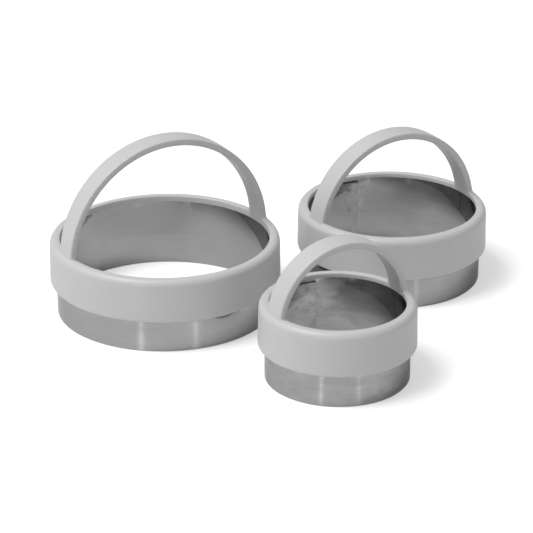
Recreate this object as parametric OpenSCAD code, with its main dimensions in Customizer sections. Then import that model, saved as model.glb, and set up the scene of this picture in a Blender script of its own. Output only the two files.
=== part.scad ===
// Set of three round biscuit cutters standing apart on a table.
// Each cutter is a steel strip rolled into a ring, lapped and spot welded, with a
// one-piece plastic collar and arched handle pressed over its upper edge.
// Millimetres, +Z up. Every blade edge stands on z = 0, and the origin lies
// under the middle of the standing set's bounding box.

/* [Blade rings] */
// Outside diameter of the large blade ring
large_blade_d = 90; // [84:1:100]
// Outside diameter of the medium blade ring
medium_blade_d = 75; // [66:1:80]
// Outside diameter of the small blade ring
small_blade_d = 57; // [48:1:62]
// Width of the steel strip, from its cutting edge to its upper edge
strip_h = 29.5; // [26:0.5:40]
// Thickness of the steel strip
strip_t = 0.45; // [0.3:0.05:0.8]

/* [Lap seam] */
// Length of the double layer where the strip laps over itself
lap_len = 15; // [10:0.5:20]
// Length over which the strip steps inwards to pass under its outer end
joggle_len = 3; // [2:0.5:6]
// Length of the trimmed upper corner at the strip's inner end
trim_len = 7.6; // [4:0.2:9]
// Depth of the large strip's trimmed corner below the strip's upper edge
large_trim_drop = 0.6; // [0.4:0.1:3]
// Depth of the medium strip's trimmed corner
medium_trim_drop = 1.4; // [0.4:0.1:3]
// Depth of the small strip's trimmed corner
small_trim_drop = 1.9; // [0.4:0.1:3]
// Bearing of the strip's inner end on the large ring
large_seam_az = 132.5; // [60:0.5:180]
// Bearing of the strip's inner end on the medium ring
medium_seam_az = 111.5; // [60:0.5:180]
// Bearing of the strip's inner end on the small ring
small_seam_az = 107; // [60:0.5:180]
// Spot welds in the lap, one above the other
weld_count = 3; // [1:1:3]
// Height of the lowest spot weld
weld_low_z = 5.5; // [3:0.5:7]
// Distance from one spot weld to the next
weld_pitch = 9.8; // [8:0.1:10]
// Distance of the spot welds from the strip's inner end
weld_inset = 4; // [2.5:0.5:8]
// Diameter of a spot weld's dent
weld_d = 2.6; // [1.5:0.1:4]
// Depth of a spot weld's dent
weld_depth = 0.1; // [0.04:0.01:0.15]

/* [Collars] */
// Height of bare blade below the collar
bare_h = 13.5; // [8:0.5:18]
// Thickness of the collar's roof over the blade's upper edge
roof_t = 2; // [1.5:0.1:4]
// Thickness of the collar's skirt at its lower edge
skirt_t = 2.6; // [1.8:0.1:4]
// Amount by which the skirt leans in from its lower edge to the rim
skirt_draft = 0.3; // [0:0.05:0.6]
// Reach of the lip inwards from the blade's outer face
lip_reach = 2; // [1.2:0.1:4]
// Radius of the rim's outer edge
rim_round = 2.6; // [1:0.1:3]
// Radius of the skirt's lower outer edge
skirt_round = 0.9; // [0.3:0.1:1.2]
// Radius of the lip's upper edge
lip_round = 0.5; // [0.2:0.1:0.8]
// Distance by which the large collar's lip hangs below the roof's underside
large_lip_drop = 0.7; // [0:0.1:1.5]
// Radial gap between a hanging lip and the strip's double layer
lip_clear = 0.1; // [0.05:0.05:0.2]
// Radial gap between the blade and the skirt
blade_fit = 0.05; // [0.02:0.01:0.2]

/* [Handles] */
// Bearing of the plane in which every handle stands
handle_az = 30; // [0:1:90]
// Width of the handle's flat band
handle_w = 10; // [7:0.5:14]
// Thickness of the handle's band
handle_t = 3; // [2:0.1:4]
// Radius of the band's four long edges
handle_round = 0.9; // [0.2:0.1:1.2]
// Distance by which each handle foot stands inside the lip's bore
foot_inset = 0.5; // [0.4:0.1:1]
// Height of each handle foot's lower end above the roof's underside
foot_up = 0.3; // [0.2:0.1:1]
// Depth of the large arch's centre below the rim
large_arch_sink = 2.7; // [0:0.1:8]
// Depth of the medium arch's centre below the rim
medium_arch_sink = 5.5; // [0:0.1:8]
// Depth of the small arch's centre below the rim
small_arch_sink = 3.6; // [0:0.1:8]

/* [Standing places] */
// Clear distance between the large and medium collars
medium_gap = 13; // [2:0.5:40]
// Bearing of the medium cutter from the large one
medium_bearing = 19.5; // [10:0.5:40]
// Clear distance between the large and small collars
small_gap = 16.4; // [2:0.5:40]
// Bearing of the small cutter from the large one
small_bearing = -43.2; // [-60:0.1:-40]

/* [Hidden] */

// Fineness of round shapes
$fn = 180;
// Overshoot of cutting shapes past the faces that they cut
over = 1;

large_r = large_blade_d / 2;
medium_r = medium_blade_d / 2;
small_r = small_blade_d / 2;
rim_z = strip_h + roof_t;
lean = atan(skirt_draft / (rim_z - bare_h));

// Radius of the sphere that presses a spot weld's dent
weld_ball_r = (weld_d * weld_d / 4 + weld_depth * weld_depth) / (2 * weld_depth);

// Standing places, first from the large cutter, then from the middle of the set
function collar_r(blade_r) = blade_r + skirt_t;
function stand_off(blade_r, gap, bearing) =
    (collar_r(large_r) + gap + collar_r(blade_r)) * [cos(bearing), sin(bearing)];
large_at = [0, 0];
medium_at = stand_off(medium_r, medium_gap, medium_bearing);
small_at = stand_off(small_r, small_gap, small_bearing);
places = [large_at, medium_at, small_at];
reaches = [for (r = [large_r, medium_r, small_r]) collar_r(r)];
set_low = [for (axis = [0, 1]) min([for (i = [0 : 2]) places[i][axis] - reaches[i]])];
set_high = [for (axis = [0, 1]) max([for (i = [0 : 2]) places[i][axis] + reaches[i]])];
set_middle = (set_low + set_high) / 2;

// Angle that an arc of a given length takes up at a given radius
function arc_angle(length, r) = length / r * 180 / PI;

// Point on the plan at a radius and a bearing
function at(r, bearing) = r * [cos(bearing), sin(bearing)];

// Slice of the plan from bearing 0 to another, longer than the radius
module slice(r, to) {
    polygon([[0, 0], at(2 * r, 0), at(2 * r, to)]);
}

// Disc whose edge passes through two points, the second one further round the axis
module disc_through(a, b, r) {
    half = (b - a) / 2;
    middle = a + half + sqrt(r * r - half * half) / norm(half) * [-half[1], half[0]];
    translate(middle) circle(r = r);
}

// The strip's two layers on the plan, from the seam at bearing 0. The outer layer ends
// at the lap's end, and there the inner one steps out by its thickness along two arcs,
// one for each face, which take the strip on as the outer layer.
module rolled_strip(blade_r, lap_end, joggle) {
    mid_r = blade_r - strip_t;
    inner_r = mid_r - strip_t;
    joggle_end = lap_end + joggle;
    difference() {
        union() {
            difference() {
                circle(r = blade_r);
                circle(r = mid_r);
            }
            difference() {
                intersection() {
                    circle(r = mid_r + strip_t / 2);
                    slice(blade_r, joggle_end + joggle);
                }
                circle(r = inner_r);
                disc_through(at(inner_r, lap_end), at(mid_r, joggle_end), mid_r);
            }
        }
        difference() {
            rotate(lap_end) slice(blade_r, 2 * joggle);
            disc_through(at(mid_r, lap_end), at(blade_r, joggle_end), mid_r);
        }
    }
}

// Steel strip rolled into a ring. Its inner end lies at the seam bearing, and its
// outer end one lap further round, where the strip steps in to pass under it.
module blade_ring(blade_r, seam_az, trim_drop) {
    mid_r = blade_r - strip_t;
    inner_r = mid_r - strip_t;
    lap_end = arc_angle(lap_len, mid_r);
    trim_end = arc_angle(trim_len, mid_r);
    rotate([0, 0, seam_az]) difference() {
        linear_extrude(height = strip_h)
            rolled_strip(blade_r, lap_end, arc_angle(joggle_len, mid_r));
        translate([0, 0, strip_h - trim_drop])
            linear_extrude(height = trim_drop + over) intersection() {
                circle(r = mid_r);
                slice(blade_r, trim_end);
            }
        for (i = [0 : weld_count - 1])
            rotate([0, 0, arc_angle(weld_inset, mid_r)])
                translate([inner_r - weld_ball_r + weld_depth, 0, weld_low_z + i * weld_pitch])
                    sphere(r = weld_ball_r);
    }
}

// What a rounded corner takes off, between the outward bearings of its two sides
module corner_waste(centre, r, from, to) {
    side_a = 2 * r * [cos(from), sin(from)];
    side_b = 2 * r * [cos(to), sin(to)];
    translate(centre) difference() {
        polygon([[0, 0], side_a, side_a + side_b, side_b]);
        circle(r = r);
    }
}

// Distance from the axis to the middle of an edge radius that touches the leaning skirt
function skirt_touch(blade_r, r, z) =
    collar_r(blade_r) - (z - bare_h) * tan(lean) - r / cos(lean);

// Section of the collar: skirt outside the blade, roof and lip over its upper edge.
// Where the lip hangs lower than the roof, it stays clear of the strip's double layer.
module collar_section(blade_r, lip_drop) {
    bore_r = blade_r + blade_fit;
    lip_r = blade_r - lip_reach;
    hang_r = blade_r - 2 * strip_t - lip_clear;
    lip_z = strip_h - lip_drop;
    rim_r = collar_r(blade_r) - skirt_draft;
    rim_round_z = rim_z - rim_round;
    skirt_round_z = bare_h + skirt_round;
    lip_low = lip_drop > 0 ? [[lip_r, lip_z], [hang_r, lip_z], [hang_r, strip_h]] : [[lip_r, lip_z]];
    difference() {
        polygon(concat(
            [[bore_r, bare_h], [collar_r(blade_r), bare_h], [rim_r, rim_z], [lip_r, rim_z]],
            lip_low, [[bore_r, strip_h]]
        ));
        corner_waste([skirt_touch(blade_r, rim_round, rim_round_z), rim_round_z], rim_round, lean, 90);
        corner_waste([skirt_touch(blade_r, skirt_round, skirt_round_z), skirt_round_z],
            skirt_round, -90, lean);
        corner_waste([lip_r + lip_round, rim_z - lip_round], lip_round, 90, 180);
    }
}

// Section of the handle's band with its four edges rounded
module band_section(inner_r) {
    low = -handle_w / 2 + handle_round;
    high = handle_w / 2 - handle_round;
    near = inner_r + handle_round;
    far = inner_r + handle_t - handle_round;
    difference() {
        translate([inner_r, -handle_w / 2])
            square([handle_t, handle_w]);
        corner_waste([far, high], handle_round, 0, 90);
        corner_waste([near, high], handle_round, 90, 180);
        corner_waste([near, low], handle_round, 180, 270);
        corner_waste([far, low], handle_round, 270, 360);
    }
}

// One-piece moulding: collar, lip and arched handle. The arch is centred a little
// below the rim, and its feet run down the lip almost to the roof's underside.
module handle_collar(blade_r, arch_sink, lip_drop = 0) {
    foot_r = blade_r - lip_reach - foot_inset;
    arch_r = sqrt(foot_r * foot_r + arch_sink * arch_sink);
    past_half = asin(roof_t / arch_r);
    rotate_extrude()
        collar_section(blade_r, lip_drop);
    rotate([0, 0, handle_az])
        difference() {
            translate([0, 0, rim_z - arch_sink])
                rotate([90, 0, 0])
                    rotate([0, 0, -past_half])
                        rotate_extrude(angle = 180 + 2 * past_half)
                            band_section(arch_r);
            translate([-2 * arch_r, -handle_w, -over])
                cube([4 * arch_r, 2 * handle_w, strip_h + foot_up + over]);
        }
}

// One cutter's piece moved from the axis of its ring to its standing place
module stand(place) {
    translate([place[0] - set_middle[0], place[1] - set_middle[1], 0])
        children();
}

module large_blade_ring() {
    color([0.62, 0.63, 0.64]) stand(large_at)
        blade_ring(large_r, large_seam_az, large_trim_drop);
}

module large_handle_collar() {
    color([0.90, 0.90, 0.90]) stand(large_at)
        handle_collar(large_r, large_arch_sink, large_lip_drop);
}

module medium_blade_ring() {
    color([0.62, 0.63, 0.64]) stand(medium_at)
        blade_ring(medium_r, medium_seam_az, medium_trim_drop);
}

module medium_handle_collar() {
    color([0.90, 0.90, 0.90]) stand(medium_at) handle_collar(medium_r, medium_arch_sink);
}

module small_blade_ring() {
    color([0.62, 0.63, 0.64]) stand(small_at)
        blade_ring(small_r, small_seam_az, small_trim_drop);
}

module small_handle_collar() {
    color([0.90, 0.90, 0.90]) stand(small_at) handle_collar(small_r, small_arch_sink);
}

large_blade_ring();
large_handle_collar();
medium_blade_ring();
medium_handle_collar();
small_blade_ring();
small_handle_collar();
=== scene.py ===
"""Three round biscuit cutters: steel blade rings under white one-piece collars and handles."""

import math

import bpy
import numpy as np
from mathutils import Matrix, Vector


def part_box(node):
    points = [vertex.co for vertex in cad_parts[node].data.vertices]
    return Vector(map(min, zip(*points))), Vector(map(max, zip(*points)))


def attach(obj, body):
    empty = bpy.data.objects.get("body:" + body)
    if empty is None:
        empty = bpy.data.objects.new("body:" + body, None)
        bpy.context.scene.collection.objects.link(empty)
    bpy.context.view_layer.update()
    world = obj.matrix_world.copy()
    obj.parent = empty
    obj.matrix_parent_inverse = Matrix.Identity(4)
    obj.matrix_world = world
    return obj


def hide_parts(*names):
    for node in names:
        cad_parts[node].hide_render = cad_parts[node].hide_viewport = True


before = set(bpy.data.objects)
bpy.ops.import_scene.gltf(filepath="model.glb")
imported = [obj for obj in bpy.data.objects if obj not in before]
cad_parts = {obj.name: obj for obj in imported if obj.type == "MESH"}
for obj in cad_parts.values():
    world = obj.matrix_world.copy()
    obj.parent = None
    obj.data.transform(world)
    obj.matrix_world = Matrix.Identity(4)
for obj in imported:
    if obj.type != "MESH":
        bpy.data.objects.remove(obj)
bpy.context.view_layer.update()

# Blade rings. Each real one is a strip of cold rolled stainless steel, 0.45 mm thick,
# rolled into a ring. Its inner end is lapped under the outer one and spot welded, with
# a step where the strip passes under, and the inner end's upper corner is trimmed off.
MM = 0.001

# Strip: its width, its thickness and the rounding of its edges
STRIP_H, STRIP_T, STRIP_EDGE_R = 29.5, 0.45, 0.17
# Lap: its length, the length of the step beside it, and the gap between its layers
LAP_LEN, JOGGLE_LEN, LAYER_GAP = 15.0, 3.0, 0.02
# Trimmed corner of the inner end: how long it is, how long its slope is, how deep it goes
TRIM_LEN, TRIM_RAMP = 7.6, 0.5
TRIM_DROP = {"large": 0.6, "medium": 1.4, "small": 1.9}
# Spot welds: their heights, how far they lie from the inner end, their width, the depth
# of the dent inside and of the faint mark outside, and the share of the width over which
# a dent fades
WELD_LOW_Z, WELD_PITCH, WELDS = 5.5, 9.8, 3
WELD_Z = WELD_LOW_Z + WELD_PITCH * np.arange(WELDS)
WELD_INSET, WELD_D, WELD_DEPTH, WELD_MARK, DENT_SPREAD = 4.0, 2.6, 0.03, 0.02, 0.3
# How far the inner end springs off the outer layer, and over what length
END_SPRING, END_SPRING_LEN = 0.2, 3.2
# Bearing of the inner end of each ring, in degrees, and where the collar's skirt begins
SEAM_BEARING = {"large": 132.5, "medium": 111.5, "small": 107.0}
COLLAR_LOW = 13.5

# Waves round the ring, left by the rolls: how many go round, their height and their phase
ROLL_WAVES = [(4, 0.030, 0.7), (7, 0.016, 2.1), (11, 0.010, 4.0), (17, 0.005, 1.3),
              (29, 0.0022, 5.2)]
# How far the waves draw the steel in, how much of them the collar presses flat, and the
# height at which that begins
WAVES_IN, WAVES_HELD, WAVES_HELD_Z = 0.03, 0.75, 6

# Heat stain of the welds: its radius, and its strength on each ring
STAIN_R = 1.25
STAIN = {"large": 0.0, "medium": 0.6, "small": 0.6}
# Darker steel all over the lap's inner layer
LAP_DARKER = {"large": 0.0, "medium": 0.3, "small": 0.0}
# Painted shade: a dark line painted round the inner end, where the gap between the layers lies in
# shade. Its width beside and above the end, its strength on each ring, and, on the end's own upper
# edge, how thick the painted shade is and how dark
GAP_SHADE_W, GAP_SHADE_H = 0.3, 0.42
GAP_SHADE = {"large": 0.15, "medium": 1.0, "small": 1.0}
LEDGE_DEPTH, LEDGE_SHADE = 0.03, 0.9
# Haze left on the steel, from 0 to 1: all round the ring, what is added beside the seam
# where the strip was welded, and how far that reaches. The added haze is centred a
# little past the inner end, and fades from HAZE_TOP down to the cutting edge.
HAZE = {"large": (0.08, 0.1, 14.0), "medium": (0.04, 0.7, 6.0), "small": (0.05, 1.0, 14.0)}
HAZE_MIDDLE, HAZE_TOP = 1.0, 26.0

# Grid of the strip: columns along the lap and step, on the trim's slope, round the ring,
# close beside the inner end over BESIDE_LEN, and over the lap, then rows up each side
# and the bearings of those on a rounded edge
STEP_COLUMNS, SLOPE_COLUMNS, RING_COLUMNS, BESIDE_COLUMNS, OVER_COLUMNS = 90, 5, 330, 9, 60
BESIDE_LEN = 1.2
SIDE_ROWS = 60
EDGE_BEARINGS = [0, 30, 60, 90]


def eased(x):
    """Smooth step: 0 below 0, 1 above 1, and x squared times (3 - 2x) between."""
    x = np.clip(x, 0, 1)
    return x * x * (3 - 2 * x)


def cutter_place(size):
    """Axis of a cutter on the plan and its blade's radius, in mm, from its CAD nodes' boxes."""
    low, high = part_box(f"{size}_handle_collar")
    edge_low, edge_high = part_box(f"{size}_blade_ring")
    return (low.x + high.x) / 2 / MM, (low.y + high.y) / 2 / MM, (edge_high.x - edge_low.x) / 2 / MM


def new_piece(name, points, faces, material, uv=None, sharp_over=35):
    """Mesh object at the origin with its place in its mesh, smooth but for corners over an angle."""
    mesh = bpy.data.meshes.new(name)
    mesh.from_pydata(points.tolist(), [], faces)
    if uv is not None:
        mesh.uv_layers.new(name="grain").uv.foreach_set("vector", uv.astype(np.float32).ravel())
    mesh.materials.append(material)
    mesh.shade_smooth()
    mesh.set_sharp_from_angle(angle=math.radians(sharp_over))
    piece = bpy.data.objects.new(name, mesh)
    bpy.context.scene.collection.objects.link(piece)
    return piece


def strip_outline():
    """Outline of the strip's cross-section, as offsets from its middle and heights in two parts.

    It runs up the inner face, over the upper edge, down the outer face and round the
    cutting edge. A height is low + part * (top of the strip), so the trimmed corner can
    lower the top. Point k lies across the strip from point -1-k."""
    turn = np.radians(EDGE_BEARINGS)
    side = STRIP_T / 2 - STRIP_EDGE_R * (1 - np.sin(turn))
    rise = STRIP_EDGE_R * (1 - np.cos(turn))
    share = np.linspace(0, 1, SIDE_ROWS + 2)[1:-1]
    offset = -np.concatenate([side, np.full(len(share), STRIP_T / 2), side[::-1]])
    low = np.concatenate([rise, STRIP_EDGE_R * (1 - 2 * share), -rise[::-1]])
    part = np.concatenate([rise * 0, share, rise * 0 + 1])
    return (np.concatenate([offset, -offset[::-1]]), np.concatenate([low, low[::-1]]),
            np.concatenate([part, part[::-1]]))


def rolled_strip(size, material):
    """Strip as a grid: the outline carried once round the axis and on over the lap.

    Radius = blade radius - half the strip - one layer where the strip passes under itself, eased out
    over the step, - the spring of the inner end, + the outline's offset + the waves of the rolls, most
    of which fade out under the collar, + the welds' dents. The top is lower by the trim near the inner
    end. Three attributes are kept on the points: stain, which falls off with the distance from a weld
    squared, plus an even darkening of the lap's inner layer; gap_shade, painted shade that does so with
    the distance from the inner end's outline and lies on the end's upper edge; and haze, which does so
    with the distance from the seam and grows with height."""
    axis_x, axis_y, blade_r = cutter_place(size)
    run_r = blade_r - STRIP_T
    lap, joggle_end, trim_end = (x / run_r for x in (LAP_LEN, LAP_LEN + JOGGLE_LEN, TRIM_LEN))
    ramp = TRIM_RAMP / run_r
    full = 2 * np.pi
    turn = np.unique(np.concatenate([
        np.linspace(0, joggle_end, STEP_COLUMNS), trim_end + np.linspace(-ramp, 0, SLOPE_COLUMNS),
        np.linspace(joggle_end, full, RING_COLUMNS),
        full + np.linspace(-BESIDE_LEN, 0, BESIDE_COLUMNS) / run_r,
        full + np.linspace(0, lap, OVER_COLUMNS)]))
    offset, low, part = strip_outline()
    top = STRIP_H - TRIM_DROP[size] * (1 - eased((turn - trim_end + ramp) / ramp))
    under = 1 - eased((turn - lap) / (joggle_end - lap))
    z = low + part * top[:, None]
    bearing = np.radians(SEAM_BEARING[size]) + turn
    inner_layer = (turn <= joggle_end)[:, None] & (offset < 0)
    outer_layer = (turn >= full)[:, None] & (offset > 0)

    waves = sum(h * np.sin(n * bearing + phase) for n, h, phase in ROLL_WAVES)
    held = eased((z - WAVES_HELD_Z) / (COLLAR_LOW - WAVES_HELD_Z))
    sprung = END_SPRING * (1 - eased(turn * run_r / END_SPRING_LEN))
    across = (turn % full)[:, None] * run_r - WELD_INSET
    from_weld = [across ** 2 + (z - height) ** 2 for height in WELD_Z]
    dent = sum(np.exp(-away / (DENT_SPREAD * WELD_D) ** 2) for away in from_weld)
    radius = (blade_r - STRIP_T / 2 - under * (STRIP_T + LAYER_GAP) - sprung)[:, None] + offset
    radius = radius + (waves - WAVES_IN)[:, None] * (1 - WAVES_HELD * held)
    radius = radius + WELD_DEPTH * dent * inner_layer - WELD_MARK * dent * outer_layer

    heat = sum(np.exp(-away / STAIN_R ** 2) for away in from_weld)
    stain = STAIN[size] * heat * (inner_layer | outer_layer)
    stain = np.clip(stain + LAP_DARKER[size] * inner_layer, 0, 1)
    # Painted shade: dark beside and above the inner end, where the gap between the layers lies in
    # shade, and dark on the end's upper edge.
    beside = np.maximum((full - turn) * run_r, 0)
    above = np.maximum(z - STRIP_H + TRIM_DROP[size] * (turn - full < trim_end)[:, None], 0)
    gap_shade = np.exp(-(beside[:, None] / GAP_SHADE_W) ** 2 - (above / GAP_SHADE_H) ** 2) * (offset < 0)
    shaded_ledge = (turn < trim_end)[:, None] & (z > top[:, None] - LEDGE_DEPTH)
    gap_shade = np.where(shaded_ledge, LEDGE_SHADE, gap_shade) * GAP_SHADE[size]
    past_seam = ((turn + np.pi) % full - np.pi) * run_r
    everywhere, at_seam, reach = HAZE[size]
    beside_seam = np.exp(-((past_seam - HAZE_MIDDLE) / reach) ** 2)[:, None]
    haze = everywhere + at_seam * beside_seam * eased(z / HAZE_TOP)

    points = np.stack([axis_x + radius * np.cos(bearing)[:, None],
                       axis_y + radius * np.sin(bearing)[:, None], z], -1)
    rows, loop = z.shape
    index = np.arange(rows * loop).reshape(rows, loop)
    ahead = np.roll(index, -1, 1)
    faces = np.stack([index[:-1], ahead[:-1], ahead[1:], index[1:]], -1).reshape(-1, 4)
    run = np.concatenate([[0], np.cumsum(np.hypot(np.diff(offset, append=offset[0]),
                                                  np.diff(low + part * STRIP_H, append=low[0])))])
    u = np.repeat(turn * run_r, loop).reshape(rows, loop)
    uv = np.stack([
        np.stack([u[:-1], u[:-1], u[1:], u[1:]], -1),
        np.broadcast_to(np.stack([run[:-1], run[1:], run[1:], run[:-1]], -1), (rows - 1, loop, 4)),
    ], -1).reshape(-1, 2)
    rung = np.arange(loop // 2 - 1)
    cap = np.stack([rung, rung + 1, loop - 2 - rung, loop - 1 - rung], -1)
    ends = np.concatenate([index[0][cap[:, ::-1]], index[-1][cap]])
    end_uv = np.stack([z.ravel()[ends], offset[ends % loop]], -1).reshape(-1, 2)
    ring = new_piece(f"{size}_blade", points.reshape(-1, 3) * MM,
                     np.concatenate([faces, ends]).tolist(), material, np.concatenate([uv, end_uv]))
    for name, value in (("stain", stain), ("gap_shade", gap_shade), ("haze", haze)):
        mark = ring.data.attributes.new(name, "FLOAT", "POINT")
        mark.data.foreach_set("value", value.astype(np.float32).ravel())
    return ring


def place(tree, kind, links=None, **settings):
    """A shader node with its settings.

    Links go from sockets, and plain values are set, by input name or number."""
    node = tree.nodes.new(kind)
    for name, value in settings.items():
        setattr(node, name, value)
    for key, source in (links or {}).items():
        if isinstance(source, bpy.types.NodeSocket):
            tree.links.new(source, node.inputs[key])
        else:
            node.inputs[key].default_value = source
    return node


def reckon(tree, operation, *values, **settings):
    """Output of a Math node on two or three sockets or numbers."""
    node = place(tree, "ShaderNodeMath", dict(enumerate(values)), operation=operation, **settings)
    return node.outputs[0]


def blend_values(tree, low, high, share):
    """low + (high - low) * share, as one node's output."""
    return place(tree, "ShaderNodeMix", {0: share, 2: low, 3: high}, data_type="FLOAT").outputs[0]


def blend_colours(tree, low, high, share):
    """low + (high - low) * share for colours, as one node's output."""
    low, high = ((*tint, 1) if isinstance(tint, tuple) else tint for tint in (low, high))
    return place(tree, "ShaderNodeMix", {0: share, 6: low, 7: high}, data_type="RGBA").outputs[2]


# Rolled grain: fine lines along the strip, clouds where the steel is hazed, and smears
# where hands and dough have been. A noise's scale is in cells per mm along the strip and
# across it, followed by its detail and roughness. SMEAR_SHIFT moves the smears along the
# strip, in cells, so that light ones lie by the small ring's seam.
LINES = ("Lines", (0.014, 1.05, 1), 5, 0.75)
FINE_LINES = ("Fine", (0.05, 9, 1), 2, 0.6)
CLOUDS, CLOUD_DETAIL, CLOUD_ROUGHNESS = (0.075, 0.11, 1), 3.0, 0.5
SMEARS, SMEAR_DETAIL, SMEAR_ROUGHNESS, SMEAR_CURL = (0.07, 0.15, 1), 4.0, 0.55, 0.4
SMEAR_SHIFT = (1.1, 0, 0)
# Noise from which clouds begin and at which they are full, and their least and most share
CLOUD_FROM, CLOUD_FULL, CLOUD_LEAST, CLOUD_MOST = 0.34, 0.64, 0.4, 1.0

grain = bpy.data.node_groups.new("rolled_grain", "ShaderNodeTree")
grain.interface.new_socket(name="Clouding", in_out="INPUT", socket_type="NodeSocketFloat")
for name in ("Lines", "Fine", "Cloud", "Smear"):
    grain.interface.new_socket(name=name, in_out="OUTPUT", socket_type="NodeSocketFloat")
grain_in = place(grain, "NodeGroupInput")
grain_out = place(grain, "NodeGroupOutput")
strip_run = place(grain, "ShaderNodeUVMap", uv_map="grain").outputs["UV"]
for name, scale, detail, rough in (LINES, FINE_LINES):
    stretched = place(grain, "ShaderNodeMapping", {"Vector": strip_run, "Scale": scale})
    lines = place(grain, "ShaderNodeTexNoise", {"Vector": stretched.outputs[0], "Scale": 1.0,
                                                "Detail": detail, "Roughness": rough})
    grain.links.new(lines.outputs["Fac"], grain_out.inputs[name])
cloud_run = place(grain, "ShaderNodeMapping", {"Vector": strip_run, "Scale": CLOUDS})
cloud = place(grain, "ShaderNodeTexNoise", {"Vector": cloud_run.outputs[0], "Scale": 1.0,
                                            "Detail": CLOUD_DETAIL, "Roughness": CLOUD_ROUGHNESS})
soft = place(grain, "ShaderNodeMapRange", {
    "Value": cloud.outputs["Fac"], "From Min": CLOUD_FROM, "From Max": CLOUD_FULL,
    "To Min": CLOUD_LEAST, "To Max": CLOUD_MOST}, interpolation_type="SMOOTHSTEP")
amount = reckon(grain, "MULTIPLY", soft.outputs[0], grain_in.outputs["Clouding"])
grain.links.new(amount, grain_out.inputs["Cloud"])
smear_run = place(grain, "ShaderNodeMapping", {"Vector": strip_run, "Location": SMEAR_SHIFT,
                                               "Scale": SMEARS})
smear = place(grain, "ShaderNodeTexNoise", {
    "Vector": smear_run.outputs[0], "Scale": 1.0, "Detail": SMEAR_DETAIL,
    "Roughness": SMEAR_ROUGHNESS, "Distortion": SMEAR_CURL})
grain.links.new(smear.outputs["Fac"], grain_out.inputs["Smear"])

# Colours of the steel: clear, under full haze, stained by a weld, the painted shade in the gap at the
# inner end, and the brightest that streaks and smears may make it
STEEL_CLEAR, STEEL_CLOUDED = (0.18, 0.182, 0.185), (0.85, 0.85, 0.85)
STAIN_TINT, GAP_SHADE_TINT = (0.1, 0.098, 0.095), (0.02, 0.02, 0.02)
STEEL_BRIGHTEST = (0.95, 0.95, 0.95)
# On each ring, how strongly the fine streaks and the smears shade the steel, and its tone
GRAIN = {"large": 0.4, "medium": 0.55, "small": 0.6}
MOTTLE = {"large": 0.25, "medium": 0.8, "small": 1.1}
TONE = {"large": 1.0, "medium": 0.82, "small": 1.0}
# Roughness between the smears and on them, what full clouds add to it, and the share of
# the sharp reflection that they take
SMOOTH, SMEARED, CLOUDS_ROUGHEN, CLOUDS_DULL = 0.17, 0.27, 0.2, 0.5
# Depth of the rolling lines, in metres, and how strongly they show
LINE_DEPTH, LINE_STRENGTH = 0.00002, 0.15


def rolled_steel(size):
    """Cold rolled steel, streaked across its grain, whose clear coat carries the sharp reflection.

    Colour = (clear to clouded, by the clouds, then towards the weld's tint and the tint of the painted
    gap shade) * streaks * smears, up to the brightest tone. Coat = 1 - half the clouds - the painted
    gap shade. Roughness goes up with the smears and the clouds."""
    steel = bpy.data.materials.new(f"rolled_steel_{size}")
    steel.use_nodes = True
    tree = steel.node_tree
    tree.nodes.clear()
    haze, stain, gap_shade = (place(tree, "ShaderNodeAttribute", attribute_name=name).outputs["Fac"]
                            for name in ("haze", "stain", "gap_shade"))
    marks = place(tree, "ShaderNodeGroup", {"Clouding": haze}, node_tree=grain).outputs
    tone = blend_colours(tree, STEEL_CLEAR, STEEL_CLOUDED, marks["Cloud"])
    tone = blend_colours(tree, tone, STAIN_TINT, stain)
    # Painted shade in the gap at the inner end and on its upper edge.
    tone = blend_colours(tree, tone, GAP_SHADE_TINT, gap_shade)
    streak = blend_values(tree, 1 - GRAIN[size], 1 + GRAIN[size], marks["Lines"])
    mottle = blend_values(tree, TONE[size] * (1 - MOTTLE[size]), TONE[size] * (1 + MOTTLE[size]),
                          marks["Smear"])
    shade = reckon(tree, "MULTIPLY", streak, mottle)
    shaded = place(tree, "ShaderNodeVectorMath", {0: tone, "Scale": shade}, operation="SCALE")
    colour = place(tree, "ShaderNodeVectorMath", {0: shaded.outputs[0], 1: STEEL_BRIGHTEST},
                   operation="MINIMUM")
    smooth = blend_values(tree, SMOOTH, SMEARED, marks["Smear"])
    rough = reckon(tree, "MULTIPLY_ADD", marks["Cloud"], CLOUDS_ROUGHEN, smooth)
    sharp = reckon(tree, "MULTIPLY_ADD", marks["Cloud"], -CLOUDS_DULL, 1.0)
    # The painted gap shade also takes away the coat's sharp reflection.
    coat = reckon(tree, "SUBTRACT", sharp, gap_shade, use_clamp=True)
    depth = reckon(tree, "ADD", marks["Lines"], marks["Fine"])
    bump = place(tree, "ShaderNodeBump", {"Strength": LINE_STRENGTH, "Distance": LINE_DEPTH,
                                          "Height": depth})
    along = place(tree, "ShaderNodeTangent", direction_type="UV_MAP", uv_map="grain")
    shader = place(tree, "ShaderNodeBsdfPrincipled", {
        "Base Color": colour.outputs[0], "Metallic": 1.0, "Roughness": rough,
        "Anisotropic": 1.0, "Anisotropic Rotation": 0.25, "Specular Tint": (0.45, 0.45, 0.45, 1),
        "Coat Weight": coat, "Coat Roughness": 0.04, "Coat IOR": 3.3,
        "Normal": bump.outputs[0], "Tangent": along.outputs[0]})
    place(tree, "ShaderNodeOutputMaterial", {"Surface": shader.outputs[0]})
    return steel


for size in SEAM_BEARING:
    blade = rolled_strip(size, rolled_steel(size))
    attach(blade, f"{size}_cutter")
    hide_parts(f"{size}_blade_ring")

# Handle collars. Each real one is a single moulding in white plastic: a skirt round the
# blade's upper part, a roof and a lip over its edge, and an arched band for the fingers
# that grows out of the rim with small fillets. It is pressed over the strip.

# Height of the rim, the skirt's thickness below and how much it narrows on the way up
RIM_Z, SKIRT_T, SKIRT_DRAFT = 31.5, 2.6, 0.3
# Gap between the blade and the bore, and how far the lip reaches in past the blade
BORE_GAP, LIP_REACH = 0.05, 2.0
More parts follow.
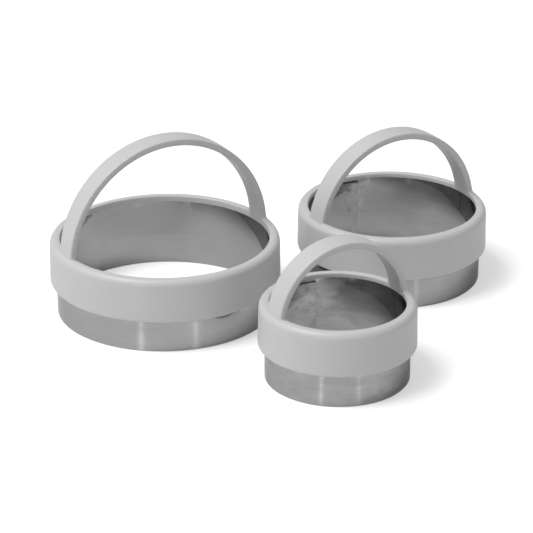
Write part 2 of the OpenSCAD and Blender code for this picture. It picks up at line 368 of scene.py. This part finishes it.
# Roundings of the rim and of the skirt's lower edge, with the steps in each
RIM_ROUND, RIM_STEPS, SKIRT_ROUND, SKIRT_STEPS = 2.6, 5, 0.9, 4
# Bearing of the handles in degrees, how far a foot stands in past the lip, and how far
# the arch's centre lies below the rim
HANDLE_BEARING, FOOT_INSET = 30.0, 0.5
ARCH_SINK = {"large": 2.7, "medium": 5.5, "small": 3.6}
# How far the lip hangs below the roof, and how far inside the blade its hanging edge begins
LIP_DROP = {"large": 0.7, "medium": 0.0, "small": 0.0}
HANG_IN = 2 * STRIP_T + 0.1

# How far the cage's skirt is drawn in from its true radius, how far the rim's rounding
# is set out from there, and how far the lower one is set in
SKIRT_IN, RIM_OUT, ROUND_IN = 0.05, 0.04, 0.01
# Rim where a handle's foot stands, from the lip outwards, as (radius past the blade,
# height), and the radius from which the rim's rounding goes on
FOOT_BORDER = [(-LIP_REACH, 30.1), (-LIP_REACH, 30.95), (-1.8, 31.38), (-1.3, RIM_Z), (-0.2, RIM_Z),
               (0.72, 31.34)]
RIM_FROM = 0.9
# Heights of the rows on the skirt and in the bore
SKIRT_ROWS_Z, BORE_ROWS_Z = (26, 23, 19.5, 16.5), (14.5, 20, 28.5)
# Corner at the bore's foot, the bore's row below the roof, and the roof over the strip
BORE_FOOT = [(0.5, COLLAR_LOW), (BORE_GAP + 0.08, COLLAR_LOW + 0.02), (BORE_GAP, COLLAR_LOW + 0.12)]
ROOF_Z = STRIP_H + 0.02
BORE_TOP = [(BORE_GAP, STRIP_H - 0.15), (BORE_GAP, ROOF_Z), (-0.2, ROOF_Z)]
# Rows that hold the corners of the lip, as distances from each: where its hanging edge
# leaves the roof, the foot of that edge, and the lip's inner foot
HANG_TOP, HANG_FOOT = [(0.15, 0), (0, -0.04)], [(0, 0.15), (-0.03, 0.02)]
LIP_FOOT = [(0.3, 0), (0.04, 0.02), (0, 0.14)]

# Across the band: where the arch's edge loops lie, and where they land on the rim with fillets
BAND_ACROSS = np.array([-5.0, -4.1, 0, 4.1, 5.0])
FOOT_ACROSS = np.array([-5.6, -4.6, 0, 4.6, 5.6])
# Through the band, from its inner to its outer face
BAND_THROUGH = np.array([0, 0.8, 1.3, 1.7, 2.2, 2.97])
# How far the band's four corners are drawn in, which rounds them to about 1 mm
CORNER_INSET = 0.12
# Heights of the lowest two loops of the arch, for the same places through the band, and
# the height from which the loops follow the round of the arch
FOOT_LOOPS_Z = np.array([[30.45, 31.35, 31.95, 32.1, 32.2, 32.4],
                         [32.0, 32.5, 32.9, 33.1, 33.3, 33.5]])
ARCH_FROM_Z = 35.2
# Columns round the collar between the feet, and loops along the arch
ROUND_STEPS, ARCH_STEPS = 44, 48


def arc(centre, r, start, end, steps):
    """Points on a circle's arc, from one bearing to another in degrees, in the section's plane."""
    turn = np.radians(np.linspace(start, end, steps + 1))
    return np.stack([centre[0] + r * np.cos(turn), centre[1] + r * np.sin(turn)], -1)


def rows_at(corner, rows):
    """Points of a corner's rows, corner + each row's distances."""
    return [(corner[0] + across, corner[1] + up) for across, up in rows]


def collar_outline(drop):
    """Outline of the collar's section as (radius past the blade, height), its lip hanging by drop.

    It goes up the lip, over the rim, down the skirt, up the bore to the roof and back to
    the lip, round the lip's hanging edge if it has one. Its points 1 to 6 border the
    handle's foot. The skirt is drawn in a little, so that the smoothed ring stays inside
    its true radius."""
    lean = SKIRT_DRAFT / (RIM_Z - COLLAR_LOW)
    side = SKIRT_T - SKIRT_IN
    rim = arc((side - SKIRT_DRAFT - RIM_ROUND + RIM_OUT, RIM_Z - RIM_ROUND),
              RIM_ROUND, 90, 0, RIM_STEPS)
    low = arc((side - SKIRT_ROUND - ROUND_IN, COLLAR_LOW + SKIRT_ROUND),
              SKIRT_ROUND, 0, -90, SKIRT_STEPS)
    rim = rim[rim[:, 0] > RIM_FROM]
    skirt = [(side - lean * (z - COLLAR_LOW), z) for z in SKIRT_ROWS_Z]
    bore = [*BORE_FOOT, *((BORE_GAP, z) for z in BORE_ROWS_Z), *BORE_TOP]
    lip_low = ROOF_Z - drop
    hang = []
    if drop > 0:
        hang = rows_at((-HANG_IN, ROOF_Z), HANG_TOP) + rows_at((-HANG_IN, lip_low), HANG_FOOT)
    *lip, first = rows_at((-LIP_REACH, lip_low), LIP_FOOT)
    return np.array([first, *FOOT_BORDER, *rim, *skirt, *low, *bore, *hang, *lip])


def handle_collar(size, material):
    """Collar and arch as one closed cage for a subdivision surface.

    The collar is its outline turned round the axis on columns that crowd at the two feet,
    where they run straight at the band's own widths. The cells under each foot are left
    out, and the arch, the band's rounded rectangle carried round a half circle from a
    little below the rim, is joined to the loops that are left. Radii are divided by
    (2 + cos step) / 3, which a smoothed ring loses."""
    axis_x, axis_y, blade_r = cutter_place(size)
    outline = collar_outline(LIP_DROP[size])
    radius = blade_r + outline[:, 0]
    foot_turn = np.arcsin(FOOT_ACROSS[:, None] / radius)
    share = (np.arange(1, ROUND_STEPS) / ROUND_STEPS)[:, None]
    between = foot_turn[-1] + share * (np.pi - 2 * foot_turn[-1])
    turn = np.concatenate([foot_turn, between, foot_turn + np.pi, between + np.pi])
    columns = len(turn)
    held = radius / ((2 + np.cos(np.pi / ROUND_STEPS)) / 3)
    ring = np.stack([held * np.cos(turn), held * np.sin(turn),
                     np.broadcast_to(outline[:, 1], turn.shape)], -1)
    index = np.arange(columns * len(outline)).reshape(columns, len(outline))
    cells = np.stack([index, np.roll(index, -1, 0), np.roll(np.roll(index, -1, 0), -1, 1),
                      np.roll(index, -1, 1)], -1)
    keep = np.ones(index.shape, bool)
    wide, deep = len(FOOT_ACROSS) - 1, len(BAND_THROUGH) - 1
    opposite = len(FOOT_ACROSS) + ROUND_STEPS - 1
    for first in (0, opposite):
        keep[first:first + wide, 1:1 + deep] = False
    faces = [cells[keep]]

    across = np.concatenate([np.arange(wide), np.full(deep, wide), np.arange(wide, 0, -1),
                             np.zeros(deep, int)])
    through = np.concatenate([np.zeros(wide, int), np.arange(deep), np.full(wide, deep),
                              np.arange(deep, 0, -1)])
    centre_z = RIM_Z - ARCH_SINK[size]
    arch_r = math.hypot(blade_r - LIP_REACH - FOOT_INSET, ARCH_SINK[size])
    start = math.degrees(math.asin((ARCH_FROM_Z - centre_z) / arch_r))
    swing = np.radians(np.linspace(start, 180 - start, ARCH_STEPS + 1))[:, None]
    corner = np.isin(across, (0, wide)) & np.isin(through, (0, deep))
    shrink = (2 + math.cos(math.radians(180 - 2 * start) / ARCH_STEPS)) / 3
    drawn_in = corner * np.where(through == 0, CORNER_INSET, -CORNER_INSET)
    reach = arch_r / shrink + BAND_THROUGH[through] + drawn_in
    beside = BAND_ACROSS[across] - corner * np.sign(BAND_ACROSS[across]) * CORNER_INSET
    foot_z = FOOT_LOOPS_Z[:, through]
    foot_x = np.sqrt(reach ** 2 - (foot_z - centre_z) ** 2)
    loop_x = np.concatenate([foot_x, reach * np.cos(swing), -foot_x[::-1]])
    loop_z = np.concatenate([foot_z, centre_z + reach * np.sin(swing), foot_z[::-1]])
    arch = np.stack([loop_x, np.broadcast_to(beside, loop_x.shape), loop_z], -1)
    arch_index = index.size + np.arange(loop_x.size).reshape(loop_x.shape)
    near = index[across, 1 + through]
    far = index[opposite + wide - across, 1 + through]
    loops = np.concatenate([near[None], arch_index, far[None]])
    ahead = np.roll(loops, -1, 1)
    faces.append(np.stack([loops[:-1], ahead[:-1], ahead[1:], loops[1:]], -1).reshape(-1, 4))

    points = np.concatenate([ring.reshape(-1, 3), arch.reshape(-1, 3)])
    bearing = math.radians(HANDLE_BEARING)
    turned = np.stack([axis_x + points[:, 0] * math.cos(bearing) - points[:, 1] * math.sin(bearing),
                       axis_y + points[:, 0] * math.sin(bearing) + points[:, 1] * math.cos(bearing),
                       points[:, 2]], -1)
    piece = new_piece(f"{size}_holder", turned * MM, np.concatenate(faces).tolist(), material,
                      sharp_over=180)
    smoothing = piece.modifiers.new("smoothing", "SUBSURF")
    smoothing.levels = smoothing.render_levels = 2
    return piece


# The plastic is one white with a faint mottle in its tone and gloss, from the mould's
# finish and from handling, and a very fine moulded skin. Scales are in cells per metre.
PLASTIC, PLASTIC_SHADES = (0.63, 0.63, 0.63), (0.97, 1.03)
PLASTIC_ROUGH = (0.34, 0.46)
MOTTLE_SCALE, SKIN_SCALE = 60.0, 2600.0
SKIN_DEPTH, SKIN_STRENGTH = 0.00003, 0.15

white_plastic = bpy.data.materials.new("white_plastic")
white_plastic.use_nodes = True
plastic_tree = white_plastic.node_tree
plastic_tree.nodes.clear()
plastic_spot = place(plastic_tree, "ShaderNodeTexCoord").outputs["Object"]
mottle = place(plastic_tree, "ShaderNodeTexNoise", {"Vector": plastic_spot, "Scale": MOTTLE_SCALE,
                                                    "Detail": 3.0, "Roughness": 0.5}).outputs["Fac"]
skin = place(plastic_tree, "ShaderNodeTexNoise", {"Vector": plastic_spot, "Scale": SKIN_SCALE,
                                                  "Detail": 2.0, "Roughness": 0.6}).outputs["Fac"]
darker, lighter = (tuple(shade * c for c in PLASTIC) for shade in PLASTIC_SHADES)
plastic_tone = blend_colours(plastic_tree, darker, lighter, mottle)
plastic_rough = blend_values(plastic_tree, *PLASTIC_ROUGH, mottle)
plastic_bump = place(plastic_tree, "ShaderNodeBump", {"Strength": SKIN_STRENGTH, "Distance": SKIN_DEPTH,
                                                      "Height": skin})
plastic_shader = place(plastic_tree, "ShaderNodeBsdfPrincipled", {
    "Base Color": plastic_tone, "Roughness": plastic_rough, "IOR": 1.46,
    "Normal": plastic_bump.outputs[0]})
place(plastic_tree, "ShaderNodeOutputMaterial", {"Surface": plastic_shader.outputs[0]})

for size in ARCH_SINK:
    holder = handle_collar(size, white_plastic)
    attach(holder, f"{size}_cutter")
    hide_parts(f"{size}_handle_collar")

# Floor. A plain pale sheet, far wider than the view, that keeps the cutters' soft shadow.
# Emission for camera rays makes it white in the picture. The steel's reflections get only
# a trace of it, because more makes the steel too bright.
FLOOR_HALF, FLOOR_DROP = 6.0, 0.0001
FLOOR_PAINT = 0.85
WHITE_FOR_CAMERA, WHITE_FOR_GLOSS = 0.42, 0.02

floor_corners = np.array([[-1, -1], [1, -1], [1, 1], [-1, 1]]) * FLOOR_HALF
floor_paint = bpy.data.materials.new("pale_floor")
floor_paint.use_nodes = True
floor_tree = floor_paint.node_tree
floor_tree.nodes.clear()
ray = place(floor_tree, "ShaderNodeLightPath").outputs
for_camera = reckon(floor_tree, "MULTIPLY", ray["Is Camera Ray"], WHITE_FOR_CAMERA)
reflected = reckon(floor_tree, "MAXIMUM", ray["Is Glossy Ray"], ray["Is Transmission Ray"])
whitening = reckon(floor_tree, "MULTIPLY_ADD", reflected, WHITE_FOR_GLOSS, for_camera)
lift = place(floor_tree, "ShaderNodeEmission", {"Color": (1, 1, 1, 1), "Strength": whitening})
matt = place(floor_tree, "ShaderNodeBsdfDiffuse", {"Color": (FLOOR_PAINT,) * 3 + (1,)})
both = place(floor_tree, "ShaderNodeAddShader", {0: matt.outputs[0], 1: lift.outputs[0]})
place(floor_tree, "ShaderNodeOutputMaterial", {"Surface": both.outputs[0]})
floor = new_piece("floor", np.insert(floor_corners, 2, -FLOOR_DROP, 1), [[0, 1, 2, 3]], floor_paint)

# Light. A pale studio all round, one broad soft lamp at the upper left, and two short
# narrow lamps low in front. Only reflections show those two, as upright streaks on the steel.
SKY = 0.37

world = bpy.data.worlds.new("studio")
world.use_nodes = True
world.node_tree.nodes["Background"].inputs["Color"].default_value = (1, 1, 1, 1)
world.node_tree.nodes["Background"].inputs["Strength"].default_value = SKY
bpy.context.scene.world = world


def soft_lamp(name, bearing, elevation, distance, width, height, radiance):
    """An area lamp that faces the cutters; its power is radiance times pi times its area."""
    data = bpy.data.lights.new(name, "AREA")
    data.shape = "RECTANGLE"
    data.size, data.size_y = width, height
    data.energy = radiance * math.pi * width * height
    lamp = bpy.data.objects.new(name, data)
    bpy.context.scene.collection.objects.link(lamp)
    bearing, elevation = math.radians(bearing), math.radians(elevation)
    lamp.location = (distance * math.cos(bearing) * math.cos(elevation),
                     distance * math.sin(bearing) * math.cos(elevation), distance * math.sin(elevation))
    lamp.rotation_euler = (math.pi / 2 - elevation, 0, bearing + math.pi / 2)
    return lamp


soft_lamp("broad_lamp", bearing=-160, elevation=63, distance=2.2, width=1.1, height=1.1, radiance=8.5)
for name, bearing, width in (("left_strip_lamp", -113.5, 0.13), ("right_strip_lamp", -59.5, 0.08)):
    strip_lamp = soft_lamp(name, bearing, elevation=3.2, distance=2.43, width=width, height=0.25,
                           radiance=62.0)
    strip_lamp.visible_diffuse = False

# Camera, where the photograph was taken from. It looks towards the back, and below level
# by CAMERA_DOWN, in radians.
CAMERA_PLACE, CAMERA_DOWN = (-0.00198, -0.89334, 0.41475), 0.414
camera_data = bpy.data.cameras.new("camera")
camera_data.lens, camera_data.sensor_width = 161.5, 36
camera_data.clip_start, camera_data.clip_end = 0.05, 50
camera = bpy.data.objects.new("camera", camera_data)
bpy.context.scene.collection.objects.link(camera)
camera.location = CAMERA_PLACE
camera.rotation_euler = (math.pi / 2 - CAMERA_DOWN, 0, 0)
bpy.context.scene.camera = camera
bpy.context.scene.view_settings.view_transform = "Standard"

bpy.context.view_layer.update()
